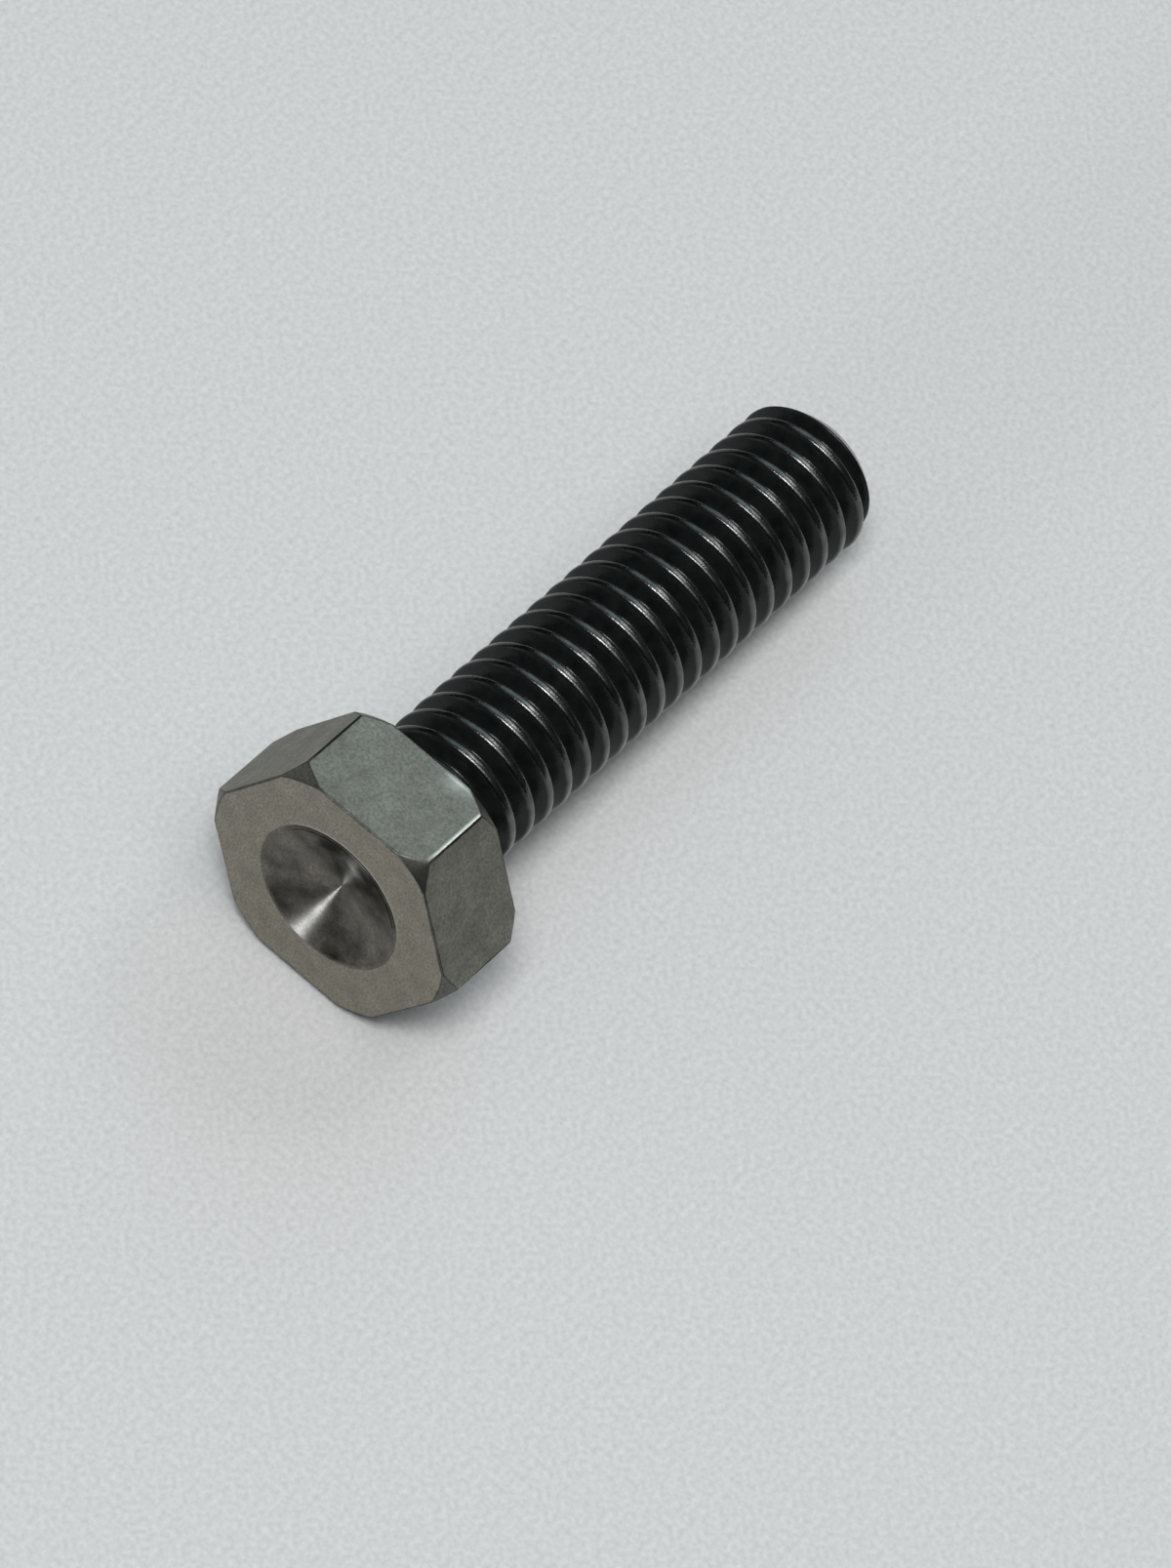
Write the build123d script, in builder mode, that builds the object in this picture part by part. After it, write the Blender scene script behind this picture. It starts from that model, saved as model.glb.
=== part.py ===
"""Hexagon-head bolt, 5/16 in - 18 UNC x 1 1/4 in, threaded along its whole shank.

One piece of steel, turned from hexagon bar. It is modelled upright, with its axis on Z and the
head's outer face at Z = 0, then laid down as it comes to rest on flat ground: on the edge of
one flat of the head and on the last crest of the thread. The ground is Z = 0.

The thread has its true hand, pitch, crest and flank angle. Its ridges stand on a core that
fills the lower half of the grooves.
"""
from build123d import *
import math
import os

inch = 25.4

# Head
across_flats = 12.7
head_height = 5.36
corner_radius = across_flats / math.sqrt(3)  # axis to a sharp corner of the hexagon
face_radius = 6.72  # the round faces reach just past the flats
corner_drop = 0.79  # height of the turned corners at each end
corner_crown = 0.02  # the turning tool leaves the corners very slightly rounded

# Conical recess in the outer face
recess_radius = 3.97
recess_angle = 150  # included angle

# Shank and its right-handed 60 degree thread
shank_length = 1.25 * inch
pitch = inch / 18
crest_radius = 3.95
crest_width = pitch / 8
flank_angle = 30  # each flank, from square to the axis
core_radius = 3.6  # also the neck under the head
last_crest = 35.94  # height of the last crest on the side that faces the ground

# Ridge of the thread, reaching a little into the core
ridge_depth = crest_radius - core_radius + 0.05
ridge_width = crest_width + 2 * ridge_depth * math.tan(math.radians(flank_angle))

# Neck under the head
neck_length = 1.6
run_in_length = 0.6  # the crests rise from the neck over this length

# Tip, chamfered at 45 degrees
tip_radius = 3.1
tip_chamfer = crest_radius - tip_radius

total_length = head_height + shank_length
neck_end = head_height + neck_length
turns = math.ceil((total_length - neck_end) / pitch) + 2
outline_gap = 0.06  # between the crests and the outline that turns the neck and the tip

# One turn of the thread's ridge
with BuildPart() as ridge:
    with BuildLine() as crest_line:
        Helix(pitch=pitch, height=pitch, radius=crest_radius)
    ridge_start = Plane(crest_line.line @ 0, x_dir=(1, 0, 0), z_dir=crest_line.line % 0)
    with BuildSketch(ridge_start):
        Polygon(
            (0, crest_width / 2),
            (-ridge_depth, ridge_width / 2),
            (-ridge_depth, -ridge_width / 2),
            (0, -crest_width / 2),
            align=None,
        )
    sweep(path=crest_line.line, is_frenet=True)

# Threaded shank
with BuildPart() as shank:
    with Locations((0, 0, head_height)):
        Cylinder(core_radius, shank_length, align=(Align.CENTER, Align.CENTER, Align.MIN))
    with Locations([(0, 0, last_crest + (2 - turn) * pitch) for turn in range(turns)]):
        add(ridge.part)

    # Neck, run-in and tip turned
    with BuildSketch(Plane.XZ):
        Polygon(
            (0, head_height),
            (core_radius, head_height),
            (core_radius, neck_end),
            (crest_radius + outline_gap, neck_end + run_in_length),
            (crest_radius + outline_gap, total_length - tip_chamfer - outline_gap),
            (tip_radius, total_length),
            (0, total_length),
            align=None,
        )
    revolve(axis=Axis.Z, mode=Mode.INTERSECT)

with BuildPart() as bolt:
    # Head: hexagon bar with one flat towards +X, the side that will face the ground
    with BuildSketch():
        RegularPolygon(radius=across_flats / 2, side_count=6, major_radius=False, rotation=30)
    extrude(amount=head_height)

    # Corners turned at both ends
    with BuildSketch(Plane.XZ):
        with BuildLine():
            Line((0, 0), (face_radius, 0))
            SagittaArc((face_radius, 0), (corner_radius, corner_drop), -corner_crown)
            Line((corner_radius, corner_drop), (corner_radius, head_height - corner_drop))
            SagittaArc((corner_radius, head_height - corner_drop), (face_radius, head_height), -corner_crown)
            Polyline((face_radius, head_height), (0, head_height), (0, 0))
        make_face()
    revolve(axis=Axis.Z, mode=Mode.INTERSECT)

    # Recess
    recess_depth = recess_radius / math.tan(math.radians(recess_angle / 2))
    with BuildSketch(Plane.XZ):
        Polygon((0, 0), (recess_radius, 0), (0, recess_depth), align=None)
    revolve(axis=Axis.Z, mode=Mode.SUBTRACT)

    # Shank
    add(shank.part)

# Lying on the ground: the axis dips towards the tip until the last of the crests touches
crest_end = last_crest + crest_width / 2
rest_tilt = math.atan2(across_flats / 2 - crest_radius, crest_end - head_height)
down = Vector(-math.sin(rest_tilt), 0, -math.cos(rest_tilt))
along = Vector(math.cos(rest_tilt), 0, -math.sin(rest_tilt))
upright = Plane(origin=(0, 0, 0), x_dir=down, z_dir=along).location * bolt.part
box = upright.bounding_box()
bolt.part = Location((-box.center().X, 0, -box.min.Z)) * upright

bolt.part.label = "bolt"
os.makedirs("parts", exist_ok=True)
export_step(bolt.part, "parts/bolt.step")
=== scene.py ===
import math

import bpy
import numpy as np
from mathutils import Matrix, Vector


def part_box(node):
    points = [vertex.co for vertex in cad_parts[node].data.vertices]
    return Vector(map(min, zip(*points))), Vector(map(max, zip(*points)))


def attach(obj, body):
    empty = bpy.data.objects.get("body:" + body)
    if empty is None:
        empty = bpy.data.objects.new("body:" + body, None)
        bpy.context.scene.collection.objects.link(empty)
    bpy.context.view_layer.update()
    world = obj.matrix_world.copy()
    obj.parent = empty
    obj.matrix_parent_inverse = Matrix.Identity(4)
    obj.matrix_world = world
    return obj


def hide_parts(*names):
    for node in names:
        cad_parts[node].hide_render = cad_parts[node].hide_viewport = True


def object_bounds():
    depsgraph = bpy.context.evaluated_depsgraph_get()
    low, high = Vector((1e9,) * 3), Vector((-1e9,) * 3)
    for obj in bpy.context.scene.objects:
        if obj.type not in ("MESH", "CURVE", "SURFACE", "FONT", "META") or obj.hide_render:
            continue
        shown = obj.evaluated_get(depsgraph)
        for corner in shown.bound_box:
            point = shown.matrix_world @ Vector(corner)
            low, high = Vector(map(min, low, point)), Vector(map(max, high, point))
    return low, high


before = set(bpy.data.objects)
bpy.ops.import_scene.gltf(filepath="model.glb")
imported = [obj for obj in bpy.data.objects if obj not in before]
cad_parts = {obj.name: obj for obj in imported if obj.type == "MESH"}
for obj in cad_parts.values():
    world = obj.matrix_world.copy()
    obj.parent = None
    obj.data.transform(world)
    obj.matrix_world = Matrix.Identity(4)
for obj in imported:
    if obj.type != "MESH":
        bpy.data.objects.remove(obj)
cad_low, cad_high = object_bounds()


# ---- Bolt: the head -------------------------------------------------------------------------
# A length of drawn hexagon bar, 12.7 mm across flats. The outer face is turned flat with a
# shallow cone in its middle, and the corners are turned off at both ends. The flats keep the
# bar's drawn skin. Every edge is slightly broken by handling. The bolt's sizes here are in
# millimetres.

across_flats = 12.7
head_height = 5.36
corner_radius = across_flats / math.sqrt(3)
face_radius = 6.72          # the turned face reaches just past the flats
corner_drop = 0.79          # height of the turned corners
recess_radius = 3.97
recess_angle = math.radians(150)
recess_depth = recess_radius / math.tan(recess_angle / 2)
neck_radius = 3.6
neck_fillet = 0.3

long_edge_radius = 0.2      # on the six long edges of the bar
face_edge_break = 0.06      # cut back from the sharp edge, all round the turned faces
rim_break = 0.08            # the same on the recess's rim
flat_steps = 16             # divisions of one flat
inner_share = 0.97          # share of a flat inside its two narrow outermost divisions
corner_steps = 4            # divisions of one rounded long edge
edge_steps = 4              # divisions of one broken edge
edge_middle = edge_steps // 2

# Angles about the bolt's axis, from the flat that lies on the ground. They crowd together at
# the long edges.
sixth = math.pi / 3
half_flat = across_flats / 2
edge_centre = (half_flat - long_edge_radius) / math.cos(sixth / 2)
edge_angle = math.atan2(long_edge_radius * math.sin(sixth / 2),
                        edge_centre + long_edge_radius * math.cos(sixth / 2))
flat_end = sixth / 2 - edge_angle
inner_angles = np.linspace(-inner_share * flat_end, inner_share * flat_end, flat_steps - 1)
flat_angles = np.concatenate([[-flat_end], inner_angles, [flat_end]])
edge_angles = np.linspace(flat_end, sixth / 2 + edge_angle, corner_steps + 1)[1:-1]
side_angles = np.concatenate([flat_angles, edge_angles])
angles = np.concatenate([side_angles + side * sixth for side in range(6)])

# How far the hexagon reaches from the axis at each angle
from_corner = np.abs(angles % sixth - sixth / 2)
to_flat = half_flat / np.cos(sixth / 2 - from_corner)
inside_edge = np.maximum(long_edge_radius ** 2 - (edge_centre * np.sin(from_corner)) ** 2, 0)
to_edge = edge_centre * np.cos(from_corner) + np.sqrt(inside_edge)
hexagon = np.where(from_corner < edge_angle, to_edge, to_flat)

# A ring is one loop of the surface round the axis: its distance from the axis, its height
# above the outer face, and how it is marked, each at every angle. A mark is 1 where the steel
# is made bright, by handling's rub and as a painted highlight, and below 0 where painted shade
# darkens it.
rub_and_highlight = 1
# a light painted shade, the usual mark of a broken edge
light_painted_shade = -0.3
round_loop = np.ones_like(angles)
rings = []


def ring(reach, height, mark=0.0):
    rings.append((reach * round_loop, height * round_loop, mark * round_loop))


longest_cut = 0.45          # share of a stretch that the broken edge beside it may take


# Unless given another mark, a broken edge is painted with a light shade, standing in for the
# dark that its rounding reflects.
def broken_edge(before, edge, after, cut, mark=light_painted_shade):
    """An edge rounded over the distance cut, between two straight stretches of the outline."""
    start, sharp, end = (np.array([reach * round_loop, height * round_loop])
                         for reach, height in (before, edge, after))
    cuts = []
    for away in (start - sharp, end - sharp):
        cuts.append(sharp + away * np.minimum(cut / np.hypot(*away), longest_cut))
    for step in range(edge_steps + 1):
        t = step / edge_steps
        reach, height = (1 - t) ** 2 * cuts[0] + 2 * t * (1 - t) * sharp + t ** 2 * cuts[1]
        ring(reach, height, mark * math.sin(math.pi * t))


# Recess. Painted shade darkens its lower and its upper side. A line left unshaded runs down
# through the lower shade, from the point to the rim, and the upper rim is painted dark inside,
# as painted shade, and pale outside.
unshaded_line = math.radians(12)       # about the axis, from straight down
unshaded_width = math.radians(22)
lower_shade_strength = 0.28
upper_shade_strength = 0.42
lower_shade_lean = 0.35     # how much more of the painted shade lies on one side of the unshaded line
upper_shade_falloff = 1.5   # 1 would let it reach a quarter turn to each side
shade_full_at = 0.5         # share of the recess's radius
rim_shade_at = 0.945
from_unshaded = np.angle(np.exp(1j * (angles - unshaded_line)))
off_unshaded = 1 - np.exp(-(from_unshaded / unshaded_width) ** 2)
lower_shade = np.clip(np.cos(from_unshaded), 0, 1) * off_unshaded
lower_shade *= 1 - lower_shade_lean * np.sin(from_unshaded)
upper_shade = upper_shade_falloff * np.cos(from_unshaded - math.pi) - (upper_shade_falloff - 1)
upper_shade = np.clip(upper_shade, 0, 1)
recess_shade = lower_shade_strength * lower_shade + upper_shade_strength * upper_shade
for share in (0.02, 0.1, 0.25, 0.4, 0.55, 0.7, 0.85, 0.92):
    spread = min(share / shade_full_at, 1)
    ring(recess_radius * share, recess_depth * (1 - share), -spread * recess_shade)
ring(recess_radius * rim_shade_at, recess_depth * (1 - rim_shade_at),
     light_painted_shade * lower_shade - upper_shade)
first_face_ring = len(rings) + edge_middle      # where the face's finish starts
broken_edge((0, recess_depth), (recess_radius, 0), (face_radius, 0), rim_break, -upper_shade)
for from_rim, rim_rub_and_highlight in ((0.12, 0.6), (0.22, 0)):     # the pale rub on the upper side of the rim, also a painted highlight
    ring(recess_radius + from_rim, 0, rim_rub_and_highlight * upper_shade)

# Turned corner: a cone that dies out towards the middle of each flat
cone_inner = np.minimum(face_radius, hexagon - face_edge_break)
cone_slope = corner_drop / (corner_radius - face_radius)
cone_drop = np.maximum((hexagon - face_radius) * cone_slope, face_edge_break)
rear_height = head_height - cone_drop
first_corner_ring = len(rings) + edge_middle
broken_edge((recess_radius, 0), (cone_inner, 0), (hexagon, cone_drop), face_edge_break)
first_flat_ring = len(rings) + edge_middle
broken_edge((cone_inner, 0), (hexagon, cone_drop), (hexagon, rear_height), face_edge_break)

# Flats. Their long edges are painted with shade, apart from one beside the top flat, which is
# rubbed bright as a painted highlight, and the top flat's rear edge has one bright knock, also a
# painted glint.
top_side = 3                # of the six sides, counted from the one on the ground
long_edge_shade = -0.45
on_long_edge = np.tile(np.concatenate([0 * flat_angles, 0 * edge_angles + long_edge_shade]), 6)
rub_and_highlight_edge = (top_side + 1) * len(side_angles) - len(edge_angles)
on_long_edge[rub_and_highlight_edge - 1:rub_and_highlight_edge + 1] = rub_and_highlight
knock_glint_angle = math.radians(196)
knock_glint_width = math.radians(5)
knock_glint_on_edge = 2.3         # enough to outweigh the edge's painted shade
knock_glint = np.exp(-((angles - knock_glint_angle) / knock_glint_width) ** 2)
for share in (0.2, 0.4, 0.6, 0.8):
    ring(hexagon, cone_drop + share * (head_height - 2 * cone_drop), on_long_edge)
for from_rear, strength in ((0.3, 0.6), (0.12, 1.6)):      # the knock and its painted glint fade away from the edge
    ring(hexagon, rear_height - from_rear, on_long_edge + strength * knock_glint)
first_rear_ring = len(rings) + edge_middle
broken_edge((hexagon, cone_drop), (hexagon, rear_height), (cone_inner, head_height),
            face_edge_break, knock_glint_on_edge * knock_glint + light_painted_shade)

# Underside
fillet_reach = neck_radius + neck_fillet
broken_edge((hexagon, rear_height), (cone_inner, head_height), (fillet_reach, head_height),
            face_edge_break)
for share in (0.3, 0.6):
    ring(face_radius + share * (fillet_reach - face_radius), head_height)


# ---- Bolt: the shank ------------------------------------------------------------------------
# The same bar turned down and threaded: 5/16 in - 18 UNC, right-handed, 60 degrees, rolled up
# to a short neck under the head. Rolling leaves the crests and roots softly rounded. The tip
# is chamfered. The shank is chemically blackened and lightly oiled.

inch = 25.4
total_length = head_height + 1.25 * inch
pitch = inch / 18
crest_radius = 3.95
crest_flat = 0.37
thread_depth = 0.86
flank_slope = 1 / math.tan(math.radians(30))
crest_rounding = 0.08
middle_rounding = 0.03      # keeps the middle of a crest smooth
root_rounding = 0.15
rubbed_depth = 0.12         # the rub on a crest fades out at this depth
last_crest = 35.94          # height of the last crest on the side that faces the ground
neck_end = head_height + 1.6
run_in_length = 0.6         # the crests rise out of the neck over this length
tip_radius = 3.1
tip_rounding = 0.05         # where the chamfer cuts the thread
tip_stretch = 0.1           # last stretch of the chamfer, without thread
tip_break = 0.12
steps_per_turn = 20
fillet_steps = 6


def soft_max(a, b, blend):
    return (a + b + np.sqrt((a - b) ** 2 + blend ** 2)) / 2


def soft_min(a, b, blend):
    return (a + b - np.sqrt((a - b) ** 2 + blend ** 2)) / 2


def depth_below_crest(from_crest):
    """Depth of the thread's surface at a distance along the axis from the middle of a crest."""
    past_flat = np.sqrt(from_crest ** 2 + middle_rounding ** 2) - crest_flat / 2
    flank = soft_max(past_flat * flank_slope, 0, crest_rounding)
    return soft_min(flank, thread_depth, root_rounding)


first_shank_ring = len(rings)
for quarter in np.linspace(0, math.pi / 2, fillet_steps + 1):
    ring(neck_radius + neck_fillet * (1 - math.sin(quarter)),
         head_height + neck_fillet * (1 - math.cos(quarter)))

thread_end = total_length - tip_stretch
ring_heights = np.arange(head_height + neck_fillet, thread_end, pitch / steps_per_turn)[1:]
for height in ring_heights:
    turns = (height - last_crest) / pitch - angles / (2 * math.pi)
    from_crest = np.abs(turns - np.round(turns)) * pitch
    depth = depth_below_crest(from_crest) - depth_below_crest(0)
    threaded = crest_radius - depth
    grown = min(max((height - neck_end) / run_in_length, 0), 1)
    reach = neck_radius + (threaded - neck_radius) * grown
    reach = soft_min(reach, tip_radius + total_length - height, tip_rounding)
    ring(reach, height, np.clip(1 - depth / rubbed_depth, 0, 1) * grown)
# The tip's edge is rubbed bright, which also paints a pale highlight round the tip.
broken_edge((tip_radius + tip_stretch, thread_end), (tip_radius, total_length),
            (0, total_length), tip_break, rub_and_highlight)
for reach in (2.2, 1.2, 0.3):
    ring(reach, total_length)

# The bolt lies on the rear edge of one flat and on the last crest of its thread, so its axis
# dips towards the tip. The frame's box says where that leaves it.
mm = 0.001
crest_end = last_crest + pitch / 16     # where a standard crest, pitch / 8 wide, ends
dip = math.atan2(half_flat - crest_radius, crest_end - head_height)
along = Vector((math.cos(dip), 0, -math.sin(dip)))
down = Vector((-math.sin(dip), 0, -math.cos(dip)))
across = Vector((0, 1, 0))
low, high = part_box("bolt")
face_centre = Vector((
    high.x - mm * (total_length * math.cos(dip) + tip_radius * math.sin(dip)),
    0,
    low.z + mm * (head_height * math.sin(dip) + half_flat * math.cos(dip)),
))

# The rings, joined into one closed surface with a point at each end
reaches, heights, mark_rings = (np.array(column) for column in zip(*rings))
count = len(angles)
ring_count = len(rings)
on_rings = np.stack([reaches * np.cos(angles), reaches * np.sin(angles), heights], axis=-1)
upright = np.concatenate([on_rings.reshape(-1, 3), [[0, 0, recess_depth], [0, 0, total_length]]])
points = np.array(face_centre) + mm * upright @ np.array([down, across, along])
marks = np.concatenate([mark_rings.ravel(), [0, 0]])

# The map runs round the axis in u and along the outline in v
strides = np.hypot(np.diff(reaches[:, 0]), np.diff(heights[:, 0]))
ring_v = np.concatenate([[0], np.cumsum(strides)]) / total_length
end_v = 2                   # past the end of the outline
end_strip = 0.01            # height of the triangles round each end's point
faces = []
face_uvs = []
face_rings = []
for i in range(ring_count - 1):
    for j in range(count):
        k = (j + 1) % count
        faces.append((i * count + j, i * count + k, (i + 1) * count + k, (i + 1) * count + j))
        u, u_next = j / count, (j + 1) / count
        v, v_next = ring_v[i], ring_v[i + 1]
        face_uvs.append(((u, v), (u_next, v), (u_next, v_next), (u, v_next)))
        face_rings.append(i)
recess_point, tip_point = ring_count * count, ring_count * count + 1
last = (ring_count - 1) * count
for j in range(count):
    k = (j + 1) % count
    u, u_middle, u_next = j / count, (j + 0.5) / count, (j + 1) / count
    faces.append((recess_point, k, j))
    face_uvs.append(((u_middle, 0), (u_next, end_strip), (u, end_strip)))
    face_rings.append(0)
    faces.append((tip_point, last + j, last + k))
    face_uvs.append(((u_middle, end_v), (u, end_v - end_strip), (u_next, end_v - end_strip)))
    face_rings.append(ring_count)

bolt_mesh = bpy.data.meshes.new("bolt")
bolt_mesh.from_pydata(points.tolist(), [], faces)
bolt_mesh.polygons.foreach_set("use_smooth", np.ones(len(faces), bool))
round_uv = bolt_mesh.uv_layers.new(name="round_the_axis")
corner_uvs = np.array([uv for uvs in face_uvs for uv in uvs], np.float32)
round_uv.data.foreach_set("uv", corner_uvs.ravel())
marked = bolt_mesh.attributes.new("mark", "FLOAT", "POINT")
marked.data.foreach_set("value", marks.astype(np.float32))
bolt = bpy.data.objects.new("beadlock_bolt", bolt_mesh)
bpy.context.scene.collection.objects.link(bolt)
keep_flats = bolt.modifiers.new("keep_flats", "WEIGHTED_NORMAL")
keep_flats.mode = "FACE_AREA"
keep_flats.weight = 90


# ---- Bolt: the finishes ---------------------------------------------------------------------
# Bare turned steel in the recess, on the outer face and on the corners, drawn steel on the
# flats, and blackened steel on the shank. All share the bolt's own directions and a soft
# mottling left by oil and handling.


def new_group(name, inputs, outputs):
    tree = bpy.data.node_groups.new(name, "ShaderNodeTree")
    for label, kind, value in inputs:
        socket = tree.interface.new_socket(label, in_out="INPUT", socket_type=kind)
        socket.default_value = value
    for label, kind in outputs:
        tree.interface.new_socket(label, in_out="OUTPUT", socket_type=kind)
    return tree, tree.nodes.new("NodeGroupInput"), tree.nodes.new("NodeGroupOutput")


def plug(tree, value, socket):
    """Give a socket a plain value, or a link where the value is another node's output."""
    if isinstance(value, bpy.types.NodeSocket):
        tree.links.new(value, socket)
    else:
        socket.default_value = value


def new_node(tree, kind, settings=None, **inputs):
    """A node with its settings, and a value or a link for each input, by name or as i0, i1."""
    node = tree.nodes.new(kind)
    for name, value in (settings or {}).items():
        setattr(node, name, value)
    for name, value in inputs.items():
        by_place = name[0] == "i" and name[1:].isdigit()
        plug(tree, value, node.inputs[int(name[1:]) if by_place else name.replace("_", " ")])
    return node


def maths(tree, operation, *values):
    inputs = {f"i{place}": value for place, value in enumerate(values)}
    return new_node(tree, "ShaderNodeMath", {"operation": operation}, **inputs).outputs[0]


def graded(tree, value, low_in, high_in, low_out, high_out):
    return new_node(tree, "ShaderNodeMapRange", Value=value, From_Min=low_in, From_Max=high_in,
                    To_Min=low_out, To_Max=high_out).outputs[0]


def mixed(tree, share, first, second):
    """A colour between two colours."""
    return new_node(tree, "ShaderNodeMix", {"data_type": "RGBA"},
                    i0=share, i6=first, i7=second).outputs[2]


# The bolt's own directions in millimetres: down, across and along
bolt_axes, group_in, group_out = new_group(
    "bolt_axes", [], [("Place", "NodeSocketVector"), ("Radius", "NodeSocketFloat")])
object_place = bolt_axes.nodes.new("ShaderNodeTexCoord").outputs["Object"]
turn = Matrix((down, across, along)).transposed().to_euler()
own_place = new_node(bolt_axes, "ShaderNodeMapping", {"vector_type": "TEXTURE"},
                     Vector=object_place, Location=face_centre, Rotation=turn,
                     Scale=(mm, mm, mm)).outputs[0]
split = new_node(bolt_axes, "ShaderNodeSeparateXYZ", Vector=own_place)
radius = maths(bolt_axes, "SQRT", maths(
    bolt_axes, "ADD",
    maths(bolt_axes, "MULTIPLY", split.outputs[0], split.outputs[0]),
    maths(bolt_axes, "MULTIPLY", split.outputs[1], split.outputs[1])))
bolt_axes.links.new(own_place, group_out.inputs["Place"])
bolt_axes.links.new(radius, group_out.inputs["Radius"])

# Mottling: cloudy patches and fine specks, each from 0 to 1
cloud_low, cloud_high = 0.3, 0.7
mottle, group_in, group_out = new_group("mottle", [
    ("Place", "NodeSocketVector", (0, 0, 0)), ("Patch Size", "NodeSocketFloat", 1.0),
    ("Speck Size", "NodeSocketFloat", 0.1)],
    [("Patches", "NodeSocketFloat"), ("Specks", "NodeSocketFloat")])
for label, size, detail in (("Patches", "Patch Size", 3), ("Specks", "Speck Size", 2)):
    scale = maths(mottle, "DIVIDE", 1.0, group_in.outputs[size])
    cloud = new_node(mottle, "ShaderNodeTexNoise", Vector=group_in.outputs["Place"],
                     Scale=scale, Detail=detail)
    mottle.links.new(graded(mottle, cloud.outputs[0], cloud_low, cloud_high, 0, 1),
                     group_out.inputs[label])


def placed(tree, group):
    node = tree.nodes.new("ShaderNodeGroup")
    node.node_tree = group
    return node


def new_finish(name, patch_size, speck_size):
    """A material with the bolt's own directions and mottling, whose sizes are in millimetres."""
    material = bpy.data.materials.new(name)
    material.use_nodes = True
    tree = material.node_tree
    own = placed(tree, bolt_axes)
    clouds = placed(tree, mottle)
    tree.links.new(own.outputs["Place"], clouds.inputs["Place"])
    clouds.inputs["Patch Size"].default_value = patch_size
    clouds.inputs["Speck Size"].default_value = speck_size
    mark = new_node(tree, "ShaderNodeAttribute", {"attribute_name": "mark"}).outputs["Fac"]
    return material, tree, tree.nodes["Principled BSDF"], own, clouds, mark


patch_roughness = 0.03      # how far patches raise and lower it
speck_roughness = 0.05
speck_share = 0.72          # how far the specks hide the steel's own colour
speck_darkness = 0.4        # their colour, as a share of the steel's
mark_off_patch, mark_on_patch = 1.1, 0.5
full_shade = -0.4           # a place marked this low is all painted shade
shade_share = 0.97
shade_roughness = 0.3       # what full painted shade adds
shade_colour = (0.02, 0.021, 0.018, 1)
rub_and_highlight_share = 0.9
rub_and_highlight_colour = (0.62, 0.63, 0.6, 1)
grazing_tint = (0.7, 0.7, 0.68, 1)


def steel(name, base, stain, roughness, anisotropy, grain):
    """Bare steel. grain gives the height of its tool marks."""
    material, tree, shader, own, clouds, mark = new_finish(name, 1.1, 0.14)
    patches, specks = clouds.outputs["Patches"], clouds.outputs["Specks"]
    stained = [stain * c for c in base] + [1]
    specked = [speck_darkness * c for c in base] + [1]
    dull = mixed(tree, patches, stained, [*base, 1])
    dull = mixed(tree, maths(tree, "MULTIPLY", specks, speck_share), dull, specked)
    uneven = graded(tree, patches, 0, 1, mark_off_patch, mark_on_patch)
    mark = maths(tree, "MULTIPLY", mark, uneven)
    # Marks below 0 mix in painted shade, and marks above 0 mix in rubbed steel and painted
    # highlights.
    shaded = mixed(tree, graded(tree, mark, 0, full_shade, 0, shade_share), dull, shade_colour)
    colour = mixed(tree, graded(tree, mark, 0, rub_and_highlight, 0, rub_and_highlight_share), shaded, rub_and_highlight_colour)
    tree.links.new(colour, shader.inputs["Base Color"])
    rough = graded(tree, patches, 0, 1, roughness + patch_roughness, roughness - patch_roughness)
    rough = maths(tree, "ADD", rough, maths(tree, "MULTIPLY", specks, speck_roughness))
    rough = maths(tree, "ADD", rough, graded(tree, mark, 0, full_shade, 0, shade_roughness))
    tree.links.new(rough, shader.inputs["Roughness"])
    shader.inputs["Metallic"].default_value = 1.0
    shader.inputs["Specular Tint"].default_value = grazing_tint
    shader.inputs["Anisotropic"].default_value = anisotropy
    if anisotropy:
        tangent = new_node(tree, "ShaderNodeTangent",
                           {"direction_type": "UV_MAP", "uv_map": "round_the_axis"})
        tree.links.new(tangent.outputs[0], shader.inputs["Tangent"])
        shader.inputs["Anisotropic Rotation"].default_value = 0.25
    tool_marks = new_node(tree, "ShaderNodeBump", Height=grain(tree, own, clouds),
                          Distance=0.01 * mm, Strength=0.5)
    tree.links.new(tool_marks.outputs[0], shader.inputs["Normal"])
    return material


def turned_rings(tree, own, clouds):
    """Concentric marks of the turning tool, uneven in depth."""
    wander = maths(tree, "MULTIPLY", clouds.outputs["Patches"], 0.02)
    outwards = maths(tree, "ADD", own.outputs["Radius"], wander)
    return new_node(tree, "ShaderNodeTexNoise", {"noise_dimensions": "1D"},
                    W=outwards, Scale=7.0, Detail=4.0).outputs[0]


def drawn_lines(tree, own, clouds):
    """Fine lines along the bar, from drawing it through its die."""
    stretched = new_node(tree, "ShaderNodeMapping", Vector=own.outputs["Place"],
                         Scale=(5.0, 5.0, 0.35)).outputs[0]
    return new_node(tree, "ShaderNodeTexNoise", Vector=stretched,
                    Scale=1.6, Detail=5.0).outputs[0]


recess_steel = steel("turned_recess_steel", (0.274, 0.254, 0.226), 0.5, 0.3, 1.0, turned_rings)
face_steel = steel("turned_face_steel", (0.37, 0.343, 0.283), 0.74, 0.4, 0.0, turned_rings)
# The corners and the rear cone take the turned steel in a darker colour than the face's, a
# painted shade for the dark they reflect.
corner_steel = steel("turned_corner_steel", (0.19, 0.19, 0.166), 0.74, 0.3, 0.0, turned_rings)
flat_steel = steel("drawn_steel", (0.277, 0.27, 0.236), 0.74, 0.3, 0.0, drawn_lines)

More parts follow.
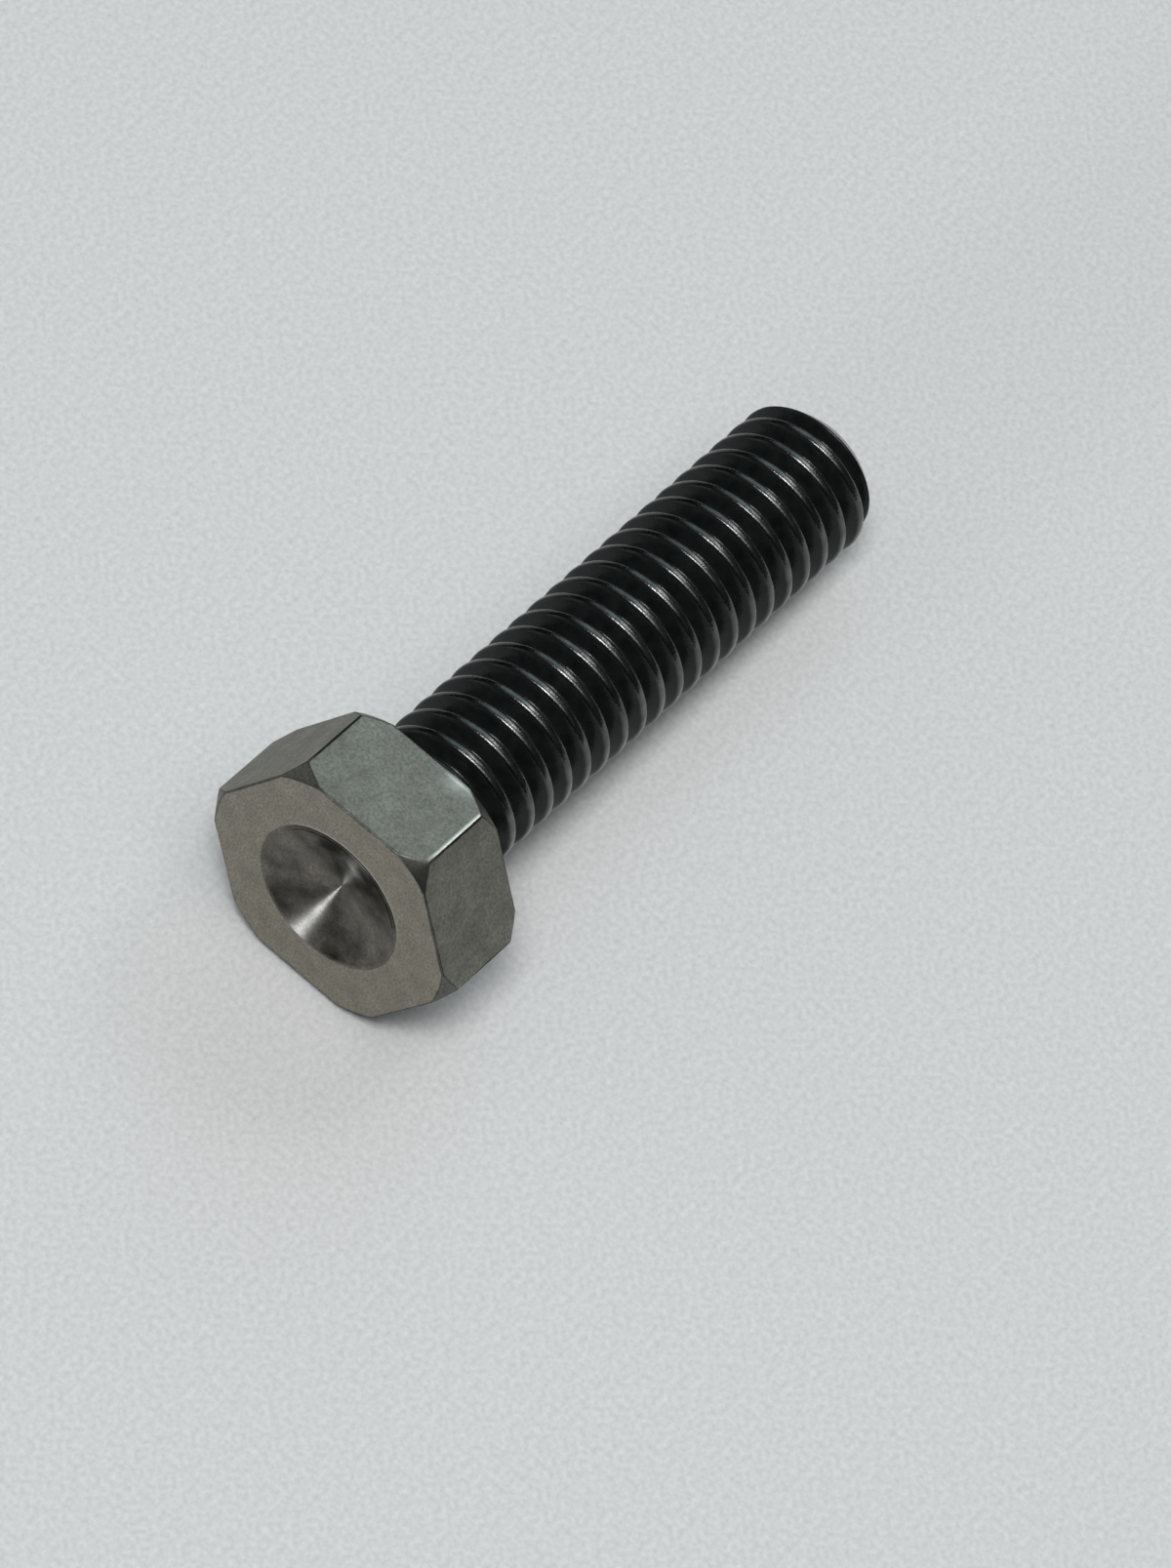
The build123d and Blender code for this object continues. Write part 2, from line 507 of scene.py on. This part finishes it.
# Blackened steel: nearly black and lightly oiled, with the crests of the thread rubbed grey in
# patches, and that grey faded towards one side as painted shade
oiled_black = (0.005, 0.0055, 0.0055, 1)
dry_black = (0.011, 0.012, 0.012, 1)
bare_grey = (0.16, 0.16, 0.156, 1)
bare_at = 0.2               # worn this much, the surface is metal
oiled_roughness, dry_roughness = 0.15, 0.26
unshaded_side_at, shaded_side_at = -1, 2.4       # millimetres to the side of the axis
shaded_side_share = 0.25
blackened, tree, shader, own, clouds, mark = new_finish("blackened_steel", 0.7, 0.1)
patches, specks = clouds.outputs["Patches"], clouds.outputs["Specks"]
sideways = new_node(tree, "ShaderNodeSeparateXYZ", Vector=own.outputs["Place"]).outputs[1]
side_shade = graded(tree, sideways, unshaded_side_at, shaded_side_at, 1.0, shaded_side_share)
wear_and_side_shade = maths(tree, "MULTIPLY", mark, side_shade)
wear_and_side_shade = maths(tree, "MULTIPLY", wear_and_side_shade, graded(tree, patches, 0, 1, 0.5, 1.0))
colour = mixed(tree, wear_and_side_shade, mixed(tree, patches, oiled_black, dry_black), bare_grey)
tree.links.new(colour, shader.inputs["Base Color"])
tree.links.new(graded(tree, wear_and_side_shade, 0, bare_at, 0, 1), shader.inputs["Metallic"])
tree.links.new(graded(tree, specks, 0, 1, oiled_roughness, dry_roughness),
               shader.inputs["Roughness"])
shader.inputs["Specular IOR Level"].default_value = 0.22
pits = new_node(tree, "ShaderNodeBump", Height=specks, Distance=0.006 * mm, Strength=0.6)
tree.links.new(pits.outputs[0], shader.inputs["Normal"])

# Which finish each stretch of the surface has, from the recess to the tip
finishes = [recess_steel, face_steel, corner_steel, flat_steel, blackened]
for finish in finishes:
    bolt_mesh.materials.append(finish)
ring_of_face = np.array(face_rings)
finish_of_face = np.zeros(len(faces), np.int32)
for first_ring, finish in (
    (first_face_ring, face_steel),
    (first_corner_ring, corner_steel),
    (first_flat_ring, flat_steel),
    (first_rear_ring, corner_steel),
    (first_shank_ring, blackened),
):
    finish_of_face[ring_of_face >= first_ring] = finishes.index(finish)
bolt_mesh.polygons.foreach_set("material_index", finish_of_face)
bolt_mesh.validate()
bolt_mesh.update()

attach(bolt, "root")
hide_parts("bolt")


# ---- Ground ---------------------------------------------------------------------------------
# A plain sheet of pale paper under the bolt, wide enough to fill the view. Its fibres give it
# a fine, soft grain. Its size, and those of the lamps, are in metres.

half_width = 1.5
dark_fibre = (0.47, 0.47, 0.467, 1)
pale_fibre = (0.76, 0.76, 0.755, 1)
paper_corners = [(x * half_width, y * half_width, low.z)
                 for x, y in ((-1, -1), (1, -1), (1, 1), (-1, 1))]
paper_mesh = bpy.data.meshes.new("ground")
paper_mesh.from_pydata(paper_corners, [], [(0, 1, 2, 3)])
paper = bpy.data.objects.new("ground", paper_mesh)
bpy.context.scene.collection.objects.link(paper)
paper_finish = bpy.data.materials.new("pale_paper")
paper_finish.use_nodes = True
tree = paper_finish.node_tree
shader = tree.nodes["Principled BSDF"]
place = tree.nodes.new("ShaderNodeTexCoord").outputs["Object"]
fibres = new_node(tree, "ShaderNodeTexNoise", Vector=place, Scale=3500.0, Detail=3.0).outputs[0]
tree.links.new(mixed(tree, fibres, dark_fibre, pale_fibre), shader.inputs["Base Color"])
shader.inputs["Roughness"].default_value = 0.8
paper_mesh.materials.append(paper_finish)


# ---- Studio light and camera ----------------------------------------------------------------
# The main soft lamp is high over the head's end, a broad fill is high on one side, and a small
# lamp stands low before the head. One lamp beyond the tip lights the thread's crests. Two broad
# panels are mirrored in the head's top and sides. The room is dim, and paler overhead.

centre = (cad_low + cad_high) / 2
lamp_distance = 1.3


def lamp(name, azimuth, elevation, size, watts, colour=(1.0, 1.0, 1.0)):
    """A square lamp that looks at the bolt from a direction in degrees."""
    a, e = math.radians(azimuth), math.radians(elevation)
    towards = Vector((math.cos(a) * math.cos(e), math.sin(a) * math.cos(e), math.sin(e)))
    light = bpy.data.lights.new(name, "AREA")
    light.size = size
    light.energy = watts
    light.color = colour
    fixture = bpy.data.objects.new(name, light)
    fixture.location = centre + towards * lamp_distance
    fixture.rotation_euler = towards.to_track_quat("Z", "Y").to_euler()
    bpy.context.scene.collection.objects.link(fixture)


lamp("key_lamp", -168, 68, 0.36, 9.7)
lamp("fill_lamp", -110, 72, 0.8, 3.3)
lamp("low_lamp", 178, 7, 0.15, 5.0, (0.9, 1.0, 1.12))
lamp("rear_lamp", -9, 51, 0.3, 1.1)
lamp("sky_panel", 22, 42, 1.0, 2.6, (0.83, 1.0, 1.04))
lamp("side_panel", 115, 20, 0.7, 0.85, (1.0, 1.0, 0.97))

dim_wall = (0.05, 0.05, 0.05, 1)
pale_ceiling = (0.25, 0.28, 0.29, 1)
world = bpy.data.worlds.new("room")
world.use_nodes = True
bpy.context.scene.world = world
tree = world.node_tree
towards_room = tree.nodes.new("ShaderNodeTexCoord").outputs["Generated"]
upwards = new_node(tree, "ShaderNodeSeparateXYZ", Vector=towards_room).outputs[2]
overhead = graded(tree, upwards, 0.3, 1.0, 0, 1)
overhead = maths(tree, "MULTIPLY", overhead, overhead)
tree.links.new(mixed(tree, overhead, dim_wall, pale_ceiling),
               tree.nodes["Background"].inputs["Color"])

camera_data = bpy.data.cameras.new("camera")
camera_data.sensor_width = 36
camera_data.lens = 200
camera_data.clip_start = 0.01
camera = bpy.data.objects.new("camera", camera_data)
camera.location = (-0.2070, -0.0885, 0.3447)
camera.rotation_euler = [math.radians(degrees) for degrees in (31.254, -10.925, -50.053)]
bpy.context.scene.collection.objects.link(camera)
bpy.context.scene.camera = camera
bpy.context.scene.view_settings.view_transform = "Standard"
